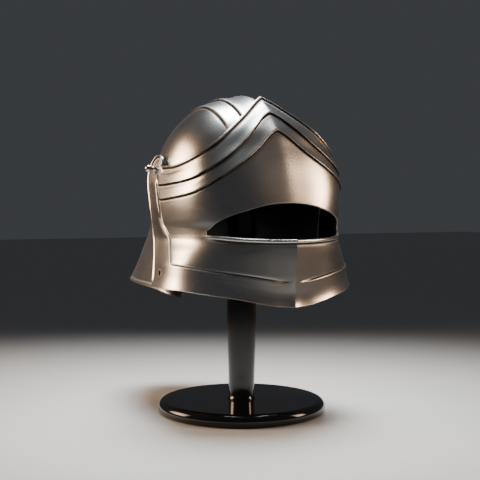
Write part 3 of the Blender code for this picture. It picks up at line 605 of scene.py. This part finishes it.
def plate(name, points, rise, groove, scale, cells, flip):
    """Steel plate of one thickness with rounded edges, worked up into its relief."""
    normal = normals_of(points) * (-1.0 if flip else 1.0)
    outer = points + normal * rise[..., None]
    inner = outer - normal * PLATE
    rows, columns = rise.shape
    used = np.zeros((rows, columns), dtype=bool)
    for i, j in ((0, 0), (1, 0), (0, 1), (1, 1)):
        used[i:rows - 1 + i, j:columns - 1 + j] |= cells
    padded = np.pad(cells, 1)
    away = np.zeros_like(points)
    walls = []
    middle = (points[:-1, :-1] + points[1:, :-1] + points[:-1, 1:] + points[1:, 1:]) / 4
    for side, (di, dj) in enumerate(((0, -1), (1, 0), (0, 1), (-1, 0))):
        open_side = cells & ~padded[1 + di:rows + di, 1 + dj:columns + dj]
        for i, j in zip(*np.nonzero(open_side)):
            ring = [(i, j), (i + 1, j), (i + 1, j + 1), (i, j + 1)]
            a, b = ring[side], ring[(side + 1) % 4]
            direction = (points[a] + points[b]) / 2 - middle[i, j]
            along = points[b] - points[a]
            direction = direction - along * (direction @ along) / max(along @ along, 1e-14)
            direction /= max(np.linalg.norm(direction), 1e-12)
            away[a] += direction
            away[b] += direction
            walls.append((a, b))
    size = np.linalg.norm(away, axis=2, keepdims=True)
    away = away / np.maximum(size, 1e-12) * (size > 0)
    layers = [
        outer - away * PLATE * EDGE_ROUND,
        outer * 0.80 + inner * 0.20 - away * PLATE * WALL_ROUND,
        outer * 0.20 + inner * 0.80 - away * PLATE * WALL_ROUND,
        inner - away * PLATE * EDGE_ROUND,
    ]
    border = size[..., 0] > 0
    vertices, index = [], []
    for number, layer in enumerate(layers):
        mask = used if number in (0, 3) else border
        numbers = np.full((rows, columns), -1, dtype=int)
        numbers[mask] = np.arange(mask.sum()) + len(vertices)
        vertices.extend(layer[mask])
        index.append(numbers)
    i, j = np.nonzero(cells)
    corners = ((i, j), (i + 1, j), (i + 1, j + 1), (i, j + 1))
    front = np.stack([index[0][c] for c in corners], 1)
    rear = np.stack([index[3][c] for c in reversed(corners)], 1)
    faces = front.tolist() + rear.tolist()
    for a, b in walls:
        for high, low in ((0, 1), (1, 2), (2, 3)):
            faces.append([index[high][b], index[high][a], index[low][a], index[low][b]])
    if flip:
        faces = [face[::-1] for face in faces]
    data = bpy.data.meshes.new(name)
    data.from_pydata([tuple(v) for v in vertices], [], faces)
    data.validate()
    # painted shade: the outer faces carry the crease shade and the inner faces the shade inside the shell
    shade_marks = {"groove": np.zeros(len(vertices)), "inside": np.zeros(len(vertices))}
    for layer, mask in ((0, used), (1, border)):
        shade_marks["groove"][index[layer][mask]] = groove[mask]
    # painted shade inside the shell, on the inner faces and the inner half of the edges
    for layer, mask in ((2, border), (3, used)):
        shade_marks["inside"][index[layer][mask]] = scale[mask]
    for label, values in shade_marks.items():
        data.attributes.new(label, "FLOAT", "POINT").data.foreach_set("value", values)
    return place_object(name, data, PLATE_CREASE)


def place_object(name, data, angle):
    """Put a mesh in the scene with smooth faces and crisp corners."""
    thing = bpy.data.objects.new(name, data)
    bpy.context.scene.collection.objects.link(thing)
    data.shade_smooth()
    data.set_sharp_from_angle(angle=math.radians(angle))
    return thing


def turned_mesh(name, profile, segments, origin, axis="Z", direction=1.0):
    """Solid turned about an axis from pairs of radius and distance along it."""
    mesh = bmesh.new()
    rings = []
    for radius, along in profile:
        ring = []
        for k in range(1 if radius == 0.0 else segments):
            turn = 2 * math.pi * k / segments
            a, b = radius * math.cos(turn), radius * math.sin(turn)
            spot = (a, b, along) if axis == "Z" else (direction * along, a, b)
            ring.append(mesh.verts.new(Vector(spot) + Vector(origin)))
        rings.append(ring)
    for low, high in zip(rings, rings[1:]):
        for k in range(segments):
            n = (k + 1) % segments
            corners = [low[k % len(low)], low[n % len(low)], high[n % len(high)], high[k % len(high)]]
            unique = list(dict.fromkeys(corners))
            if len(unique) > 2:
                mesh.faces.new(unique)
    bmesh.ops.recalc_face_normals(mesh, faces=mesh.faces[:])
    data = bpy.data.meshes.new(name)
    mesh.to_mesh(data)
    mesh.free()
    return place_object(name, data, TURNED_CREASE)


def arc(radius, centre_radius, centre_along, start, stop, steps):
    """Profile points on a circle, angles in degrees from the outward direction."""
    turns = np.radians(np.linspace(start, stop, steps + 1))
    return [(centre_radius + radius * math.cos(t), centre_along + radius * math.sin(t)) for t in turns]


def bore(thing, holes):
    """Cut round holes straight across both sides of a plate, with painted shade round their edges."""
    cutters = []
    for diameter, y, height in holes:
        radius = diameter / 2
        profile = [(0.0, -BORE_REACH), (radius, -BORE_REACH), (radius, BORE_REACH), (0.0, BORE_REACH)]
        cutters.append(turned_mesh("bore", profile, 32, (0.0, y, height), "X"))
    for cutter in cutters:
        cut = thing.modifiers.new("bore", "BOOLEAN")
        cut.operation = "DIFFERENCE"
        cut.solver = "EXACT"
        cut.object = cutter
    graph = bpy.context.evaluated_depsgraph_get()
    done = bpy.data.meshes.new_from_object(thing.evaluated_get(graph))
    thing.modifiers.clear()
    thing.data = done
    for cutter in cutters:
        bpy.data.objects.remove(cutter, do_unlink=True)
    spots, shade_marks = np.zeros(len(done.vertices) * 3), np.zeros(len(done.vertices))
    done.vertices.foreach_get("co", spots)
    done.attributes["groove"].data.foreach_get("value", shade_marks)
    # painted shade round each hole's edge
    for diameter, y, height in holes:
        shade_marks[np.hypot(spots[1::3] - y, spots[2::3] - height) < diameter * 0.55] = 1.0
    done.attributes["groove"].data.foreach_set("value", shade_marks)
    done.set_sharp_from_angle(angle=math.radians(PLATE_CREASE))


# Materials


def new_material(name):
    """Empty node material and its shader."""
    material = bpy.data.materials.new(name)
    material.use_nodes = True
    return material, material.node_tree, material.node_tree.nodes["Principled BSDF"]


def node(tree, kind, values, **options):
    """New shader node with its options, and its sockets set or linked."""
    made = tree.nodes.new(kind)
    for option, value in options.items():
        setattr(made, option, value)
    for socket, value in values.items():
        if isinstance(value, bpy.types.NodeSocket):
            tree.links.new(value, made.inputs[socket])
        else:
            made.inputs[socket].default_value = value
    return made


def noise(tree, scale, stretch=(1.0, 1.0, 1.0), detail=4.0, rough=0.5, distortion=0.0):
    """Noise over the object's own coordinates, stretched along its axes."""
    spot = tree.nodes.new("ShaderNodeTexCoord").outputs["Object"]
    mapped = node(tree, "ShaderNodeMapping", {"Vector": spot, "Scale": stretch}).outputs["Vector"]
    values = {"Vector": mapped, "Scale": scale, "Detail": detail, "Roughness": rough,
              "Distortion": distortion}
    return node(tree, "ShaderNodeTexNoise", values).outputs["Fac"]


def ramp(tree, source, low, high, start, end):
    """Map a value from one range to another, held at its ends."""
    values = {"Value": source, "From Min": low, "From Max": high, "To Min": start, "To Max": end}
    return node(tree, "ShaderNodeMapRange", values).outputs["Result"]


def blend_colour(tree, factor, first, second):
    """Mix of two colours or colour sockets."""
    first, second = (value if isinstance(value, bpy.types.NodeSocket) else (*value, 1.0)
                     for value in (first, second))
    return node(tree, "ShaderNodeMix", {0: factor, 6: first, 7: second}, data_type="RGBA").outputs[2]


def arithmetic(tree, kind, first, second):
    """Result of one sum on two values or sockets."""
    return node(tree, "ShaderNodeMath", {0: first, 1: second}, operation=kind).outputs[0]


def attribute(tree, name):
    """Value of a named attribute of the mesh."""
    return node(tree, "ShaderNodeAttribute", {}, attribute_name=name).outputs["Fac"]


def bumped(tree, shader, height, strength, distance):
    """Bump from a height onto a shader, after any bump that is there."""
    values = {"Height": height, "Strength": strength, "Distance": distance}
    if shader.inputs["Normal"].is_linked:
        values["Normal"] = shader.inputs["Normal"].links[0].from_socket
    made = node(tree, "ShaderNodeBump", values)
    tree.links.new(made.outputs["Normal"], shader.inputs["Normal"])


def polished_steel(name, colour, roughness, plate_shade=True):
    """Hand-polished steel with faint polishing lines, painted shade darkening its creases and grooves, and
    painted shade darkening its inner faces.
    """
    material, tree, shader = new_material(name)
    warm = tuple(c * f for c, f in zip(colour, (1.03, 0.99, 0.95)))
    cool = tuple(c * f for c, f in zip(colour, (0.95, 0.98, 1.01)))
    cloud = noise(tree, 16.0, detail=3.0)
    tone = blend_colour(tree, ramp(tree, cloud, 0.35, 0.65, 0.0, 1.0), warm, cool)
    lines = noise(tree, 60.0, (1.0, 1.0, 5.0), 2.0, 0.5)
    fine = noise(tree, 900.0, (0.6, 0.6, 2.5), 2.0, 0.6)
    stain = noise(tree, 60.0, detail=5.0, rough=0.6, distortion=0.4)
    spots = ramp(tree, stain, 0.64, 0.82, 0.0, 0.08)
    tone = blend_colour(tree, spots, tone, tuple(c * 0.7 for c in colour))
    haze = ramp(tree, cloud, 0.3, 0.7, roughness - 0.015, roughness + 0.025)
    added = [ramp(tree, lines, 0.3, 0.7, -0.006, 0.008), ramp(tree, fine, 0.3, 0.7, -0.010, 0.010)]
    added.append(arithmetic(tree, "MULTIPLY", spots, 0.30))
    if plate_shade:
        # painted shade: the marked creases, grooves and hole edges are darkened nearly to black
        shade_amount = ramp(tree, stain, 0.25, 0.6, 0.90, 1.00)
        shade_amount = arithmetic(tree, "MULTIPLY", attribute(tree, "groove"), shade_amount)
        tone = blend_colour(tree, shade_amount, tone, (0.010, 0.009, 0.008))
        # painted shade: the inner faces are darkened nearly to black
        inner = attribute(tree, "inside")
        scale = ramp(tree, stain, 0.3, 0.7, 0.004, 0.012)
        scale = node(tree, "ShaderNodeCombineColor", dict.fromkeys(("Red", "Green", "Blue"), scale))
        tone = blend_colour(tree, inner, tone, scale.outputs["Color"])
        added += [arithmetic(tree, "MULTIPLY", shade_amount, 0.40), arithmetic(tree, "MULTIPLY", inner, 0.35)]
    for part in added:
        haze = arithmetic(tree, "ADD", haze, part)
    tree.links.new(tone, shader.inputs["Base Color"])
    tree.links.new(haze, shader.inputs["Roughness"])
    shader.inputs["Metallic"].default_value = 1.0
    bumped(tree, shader, noise(tree, 20.0, detail=1.0), 0.05, 0.0008)
    bumped(tree, shader, lines, 0.003, 0.0003)
    return material


def black_lacquer(name, colour, roughness):
    """Deep gloss lacquer with faint wipe marks and a little dust."""
    material, tree, shader = new_material(name)
    dust = noise(tree, 900.0, detail=2.0, rough=0.7)
    specks = ramp(tree, dust, 0.70, 0.80, 0.0, 0.30)
    tone = blend_colour(tree, specks, colour, (0.10, 0.10, 0.105))
    tree.links.new(tone, shader.inputs["Base Color"])
    wipe = noise(tree, 22.0, (1.0, 1.0, 0.4), 5.0, 0.6, 0.8)
    haze = ramp(tree, wipe, 0.35, 0.75, roughness * 0.7, roughness * 1.7)
    tree.links.new(haze, shader.inputs["Roughness"])
    shader.inputs["Specular IOR Level"].default_value = 0.3
    shader.inputs["Coat Weight"].default_value = 0.3
    shader.inputs["Coat Roughness"].default_value = 0.04
    bumped(tree, shader, noise(tree, 45.0, detail=2.0), 0.03, 0.0005)
    return material


def black_felt(name, colour):
    """Short matted fibres."""
    material, tree, shader = new_material(name)
    fibres = noise(tree, 1400.0, detail=4.0, rough=0.75)
    tone = blend_colour(tree, fibres, colour, tuple(c * 2.2 for c in colour))
    tree.links.new(tone, shader.inputs["Base Color"])
    shader.inputs["Roughness"].default_value = 0.95
    shader.inputs["Sheen Weight"].default_value = 0.3
    bumped(tree, shader, fibres, 0.5, 0.0006)
    return material


def plain_surface(name, colour, roughness):
    """Painted studio floor with very faint mottling."""
    material, tree, shader = new_material(name)
    tone = blend_colour(tree, noise(tree, 3.0, detail=4.0), colour, tuple(c * 0.965 for c in colour))
    tree.links.new(tone, shader.inputs["Base Color"])
    shader.inputs["Roughness"].default_value = roughness
    return material


def dress(thing, material, body, slot, *nodes):
    """Give a piece its material and its body, and hide the solids that it stands for; the slot is not used.
    """
    thing.data.materials.clear()
    thing.data.materials.append(material)
    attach(thing, body)
    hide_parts(*nodes)


# Settings


def length(name, description, default):
    """Setting that holds a length."""
    return FloatProperty(name=name, description=description, unit="LENGTH", default=default)


def share(name, description, default):
    """Setting from 0 to 1."""
    return FloatProperty(
        name=name, description=description, subtype="FACTOR", min=0.0, max=1.0, default=default)


def angle(name, description, degrees):
    """Setting that holds an angle."""
    return FloatProperty(name=name, description=description, unit="ROTATION", default=math.radians(degrees))


def power(name, description, default):
    """Setting that holds a lamp's power."""
    return FloatProperty(name=name, description=description, unit="POWER", default=default)


def colour(name, description, default):
    """Setting that holds a colour."""
    return FloatVectorProperty(
        name=name, description=description, subtype="COLOR", size=3, min=0.0, max=1.0, default=default)


class SalletSteelSettings(bpy.types.PropertyGroup):
    """Colours and finish of the steel"""

    bowl_colour: colour("Bowl steel", "Colour of the bowl's polished steel", (0.54, 0.53, 0.52))
    visor_colour: colour("Visor steel", "Colour of the visor's polished steel", (0.56, 0.55, 0.535))
    roughness: share("Polish", "Roughness of the polished steel", 0.24)


class SalletBowlSettings(bpy.types.PropertyGroup):
    """Relief of the bowl"""

    crest: length("Crest", "Height of the crest over the plain dome", 0.0033)
    rim: length("Turned rim", "How far the lower rim is turned out", 0.0012)
    fade: share("Flute end", "Where the flutes die out, from brow to tail", 0.80)


class SalletVisorSettings(bpy.types.PropertyGroup):
    """Relief of the visor"""

    ridge: length("Ridges", "Height of the chevron ridges", 0.0020)
    bead: length("Rim bead", "Height of the beaded upper rim", 0.0016)
    lip: length("Sight lip", "Height of the lip under the sight", 0.0020)
    band: length("Raised band", "Height of the band along the lower and rear edges", 0.0014)
    flare: length("Lower flare", "How far the lower edge flares out", 0.0022)
    lace_hole: length("Lace hole", "Diameter of the hole in each rear corner", 0.0062)


class SalletStandSettings(bpy.types.PropertyGroup):
    """Sizes and finish of the stand"""

    base_diameter: length("Foot diameter", "Diameter of the round foot", 0.200)
    base_thickness: length("Foot thickness", "Thickness of the round foot", 0.015)
    edge_round: length("Edge rounding", "Radius of the foot's rounded upper edge", 0.0085)
    lacquer: colour("Lacquer", "Colour of the black lacquer", (0.008, 0.008, 0.0085))
    gloss: share("Lacquer roughness", "Roughness of the black lacquer", 0.09)
    segments: IntProperty(name="Segments", description="Sides of the turned pieces", default=132)


class SalletStudioSettings(bpy.types.PropertyGroup):
    """Floor, lights and camera"""

    floor_colour: colour("Floor", "Colour of the plain floor", (0.60, 0.60, 0.59))
    side_power: power("Side lights", "Power of the two side lights", 2.5)
    top_power: power("Top light", "Power of the top light", 5.0)
    room_light: share("Room light", "Strength of the even light all round", 0.06)
    azimuth: angle("View azimuth", "Camera azimuth from the helmet's front", -30.0)
    elevation: angle("View elevation", "Camera height over level", 2.0)
    distance: length("View distance", "Camera distance from its aim", 1.131)
    aim_height: length("Aim height", "Height of the point that the camera looks at", 0.2041)
    lens: FloatProperty(name="Lens", description="Focal length of the camera", unit="CAMERA", default=71.1)


# Operators


class SALLET_OT_bowl(bpy.types.Operator):
    """Make the fluted bowl with its flared tail"""

    bl_idname = "sallet.bowl"
    bl_label = "Bowl"

    def execute(self, context):
        settings = context.scene.sallet_bowl
        knots = FLUTES["turn"]
        fine = []
        for near, far in zip(knots, knots[1:]):
            fine += [near + (far - near) * t for t in ((0.0, 0.5) if far - near > 0.7 else (0.0,))]
        turns = np.array([*fine, *SIDE_TURNS])
        steps = np.array(ARCHES)
        points = bowl_grid(steps, turns)
        across = np.concatenate([turns[:0:-1], turns])[None, :]
        height = np.interp(across, knots, FLUTES["height"], right=0.0)
        # painted shade in the flutes' creases
        flute_shade = np.interp(across, knots, FLUTES["groove"], right=0.0)
        fade = 1.0 - ease(steps[:, None], settings.fade - FLUTE_LENGTH_FADE, settings.fade)
        fade = fade * np.clip(steps[:, None] / 0.09, 0.2, 1.0)
        rise = settings.crest * height * fade
        rim = np.concatenate([points[:, 0], points[-1], points[::-1, -1]])
        gap = distance_to(points, rim)
        rise = rise + settings.rim * (1.0 - ease(gap, 0.0016, 0.0042))
        # painted shade in the flute creases and in a line just above the turned rim
        groove = flute_shade * fade + 0.6 * ease(gap, 0.0026, 0.0038) * (1.0 - ease(gap, 0.0038, 0.0056))
        # painted shade on the bowl's front, where the visor covers it
        under_visor_shade = 1.0 - ease(distance_to(points, points[0]), 0.012, 0.028)
        groove = np.maximum(groove, under_visor_shade)
        cells = np.ones((points.shape[0] - 1, points.shape[1] - 1), dtype=bool)
        # the whole inner face of the bowl gets the painted shade
        bowl = plate("sallet_bowl", points, rise, groove, np.ones(rise.shape), cells, True)
        bore(bowl, [(PIVOT_BORE, PIVOT_Y, PIVOT_HEIGHT)])
        steel = context.scene.sallet_steel
        dress(bowl, polished_steel("bowl_polished_steel", steel.bowl_colour, steel.roughness),
              "helmet", "bowl_steel", "bowl")
        return {"FINISHED"}


class SALLET_OT_visor(bpy.types.Operator):
    """Make the visor with its rim, ridges, sight, keel and ear lobes"""

    bl_idname = "sallet.visor"
    bl_label = "Visor"

    def execute(self, context):
        settings = context.scene.sallet_visor
        points, places, cells = visor_grid()
        rise, groove = visor_relief(points, places, settings)
        # painted shade on the inner faces, left off behind the ear lobe
        lobe = ease(points[..., 1], -0.004, 0.004) * ease(points[..., 2], 0.276, 0.288)
        visor = plate("sallet_visor", points, rise, groove, 1.0 - lobe, cells, False)
        bore(visor, [
            (PIVOT_BORE, PIVOT_Y, PIVOT_HEIGHT),
            (settings.lace_hole, LACE_HOLE_Y, LACE_HOLE_HEIGHT),
        ])
        steel = context.scene.sallet_steel
        dress(visor, polished_steel("visor_polished_steel", steel.visor_colour, steel.roughness),
              "visor", "visor_steel", "visor")
        return {"FINISHED"}


class SALLET_OT_pivots(bpy.types.Operator):
    """Make the two pivots with their knobs"""

    bl_idname = "sallet.pivots"
    bl_label = "Pivots"

    def execute(self, context):
        steel = context.scene.sallet_steel
        finish = polished_steel("pivot_polished_steel", steel.visor_colour, steel.roughness * 0.8, False)
        for node, side in (("pivot_right", -1.0), ("pivot_left", 1.0)):
            low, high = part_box(node)
            inner, outer = sorted((abs(low[0]), abs(high[0])))
            outer -= KNOB_INSET
            face = outer - KNOB_REACH
            profile = [(radius, inner + along) for radius, along in PIVOT_HEAD]
            profile += [(radius, face + along) for radius, along in PIVOT_NECK]
            profile += arc(0.0010, KNOB_RADIUS - 0.0010, face + 0.0050, -50, 0, 4)
            profile += arc(KNOB_RADIUS, 0.0, outer - KNOB_RADIUS - 0.0002, 0, 78, 12)
            profile += [(0.0008, outer - 0.0001), (0.0, outer)]
            pivot = turned_mesh("sallet_" + node, profile, 40, (0.0, PIVOT_Y, PIVOT_HEIGHT), "X", side)
            dress(pivot, finish, "helmet", "pivot_steel", node)
        return {"FINISHED"}


class SALLET_OT_stand(bpy.types.Operator):
    """Make the lacquered foot and post, and finish the felt rest"""

    bl_idname = "sallet.stand"
    bl_label = "Stand"

    def execute(self, context):
        settings = context.scene.sallet_stand
        lacquer = black_lacquer("stand_black_lacquer", settings.lacquer, settings.gloss)
        edge, radius = settings.base_diameter / 2, settings.edge_round
        thick = settings.base_thickness
        under = radius * 0.5
        profile = [(0.0, 0.0), (edge - radius - 0.02, 0.0)]
        profile += arc(under, edge - under, under, -90, 0, 8)
        profile += arc(radius, edge - radius, thick - radius, 0, 90, 14)
        profile += [(edge - radius - inward, thick) for inward in (0.0015, 0.02)]
        profile += [(0.03, thick), (0.0, thick)]
        base = turned_mesh("sallet_stand_base", profile, settings.segments, (0.0, 0.0, 0.0))
        dress(base, lacquer, "helmet", "stand_black", "stand_base")
        low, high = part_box("stand_post")
        bottom, top = low[2], high[2]
        foot, neck, taper_top = 0.015, 0.0175, 0.110
        profile = [(0.0, bottom), (foot + 0.0015, bottom)]
        profile += [(foot + out, bottom + up) for out, up in (
            (0.0014, 0.0006), (0.0008, 0.0016), (0.0002, 0.0026), (0.0, 0.0032))]
        profile += [(foot + (neck - foot) * t, bottom + 0.003 + (taper_top - bottom - 0.003) * t)
                    for t in (0.25, 0.5, 0.75, 1.0)]
        profile += [(neck, bottom + (top - bottom) * 0.65), (neck, top - 0.001)]
        profile += [(neck - 0.001, top), (0.0, top)]
        post = turned_mesh("sallet_stand_post", profile, 72, (0.0, 0.0, 0.0))
        dress(post, lacquer, "helmet", "stand_black", "stand_post")
        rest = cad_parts["stand_rest"]
        rest.data.materials.clear()
        rest.data.materials.append(black_felt("rest_black_felt", (0.018, 0.018, 0.018)))
        return {"FINISHED"}


class SALLET_OT_studio(bpy.types.Operator):
    """Make the floor, the soft lights and the camera"""

    bl_idname = "sallet.studio"
    bl_label = "Studio"

    def execute(self, context):
        settings = context.scene.sallet_studio
        data = bpy.data.meshes.new("studio_floor")
        size = 6.0
        corners = [(-size, -size, 0), (size, -size, 0), (size, size, 0), (-size, size, 0)]
        data.from_pydata(corners, [], [(0, 1, 2, 3)])
        floor = bpy.data.objects.new("studio_floor", data)
        floor.data.materials.append(plain_surface("studio_floor_paint", settings.floor_colour, 0.75))
        context.scene.collection.objects.link(floor)
        world = bpy.data.worlds.new("studio_room")
        context.scene.world = world
        world.use_nodes = True
        sky = world.node_tree.nodes["Background"]
        sky.inputs["Color"].default_value = (0.78, 0.83, 0.92, 1.0)
        sky.inputs["Strength"].default_value = settings.room_light
        turn, rise = settings.azimuth, settings.elevation
        back = Vector((math.sin(turn) * math.cos(rise), -math.cos(turn) * math.cos(rise), math.sin(rise)))
        right = Vector((math.cos(turn), math.sin(turn), 0.0))
        aim = Vector((0.0, 0.0, settings.aim_height)) - right * AIM_SHIFT
        middle = Vector((0.0, 0.0, LIGHTS_AIM_HEIGHT))
        level = Vector((back.x, back.y, 0.0)).normalized()

        def beside(degrees, distance, height):
            angle = math.radians(degrees)
            return (level * math.cos(angle) + right * math.sin(angle)) * distance + Vector((0, 0, height))

        side, top = settings.side_power, settings.top_power
        lights = (
            ("left_softbox", beside(-97, 1.15, 0.37), (0.72, 0.70), side, WARM_LIGHT),
            ("right_softbox", beside(86, 1.15, 0.38), (0.34, 0.70), side * 0.36, WARM_LIGHT),
            ("top_softbox", beside(180, 0.26, 1.00), (0.74, 0.74), top, WHITE_LIGHT),
        )
        for name, off, area, power, colour in lights:
            lamp = bpy.data.lights.new(name, "AREA")
            lamp.shape = "RECTANGLE"
            lamp.size, lamp.size_y = area
            lamp.energy = power
            lamp.color = colour
            lamp.spread = math.radians(LIGHT_SPREAD)
            thing = bpy.data.objects.new(name, lamp)
            thing.location = middle + off
            thing.rotation_euler = (-off).to_track_quat("-Z", "Y").to_euler()
            context.scene.collection.objects.link(thing)
        lens = bpy.data.cameras.new("studio_camera")
        lens.sensor_width = 36.0
        lens.lens = settings.lens
        camera = bpy.data.objects.new("studio_camera", lens)
        up = back.cross(right)
        turned = Matrix((right, up, back)).transposed().to_4x4()
        camera.matrix_world = Matrix.Translation(aim + back * settings.distance) @ turned
        context.scene.collection.objects.link(camera)
        context.scene.camera = camera
        return {"FINISHED"}


class SALLET_PT_panel(bpy.types.Panel):
    """Pieces of the sallet and their settings"""

    bl_idname = "SALLET_PT_panel"
    bl_label = "Sallet"
    bl_space_type = "VIEW_3D"
    bl_region_type = "UI"
    bl_category = "Sallet"

    def draw(self, context):
        layout = self.layout
        for operator in OPERATORS:
            layout.operator(operator.bl_idname)
        for name, group in SETTINGS:
            box = layout.box()
            box.label(text=group.__doc__)
            for key in group.__annotations__:
                box.prop(getattr(context.scene, name), key)


OPERATORS = (SALLET_OT_bowl, SALLET_OT_visor, SALLET_OT_pivots, SALLET_OT_stand, SALLET_OT_studio)
SETTINGS = (
    ("sallet_steel", SalletSteelSettings),
    ("sallet_bowl", SalletBowlSettings),
    ("sallet_visor", SalletVisorSettings),
    ("sallet_stand", SalletStandSettings),
    ("sallet_studio", SalletStudioSettings),
)


def register():
    """Add the settings, the operators and the panel."""
    for name, group in SETTINGS:
        bpy.utils.register_class(group)
        setattr(bpy.types.Scene, name, PointerProperty(type=group))
    for kind in OPERATORS + (SALLET_PT_panel,):
        bpy.utils.register_class(kind)


def unregister():
    """Take the panel, the operators and the settings out again."""
    for kind in reversed(OPERATORS + (SALLET_PT_panel,)):
        bpy.utils.unregister_class(kind)
    for name, group in reversed(SETTINGS):
        delattr(bpy.types.Scene, name)
        bpy.utils.unregister_class(group)


def main():
    """Make every piece and the studio."""
    register()
    for operator in OPERATORS:
        group, name = operator.bl_idname.split(".")
        getattr(getattr(bpy.ops, group), name)()


if __name__ == "__main__":
    main()
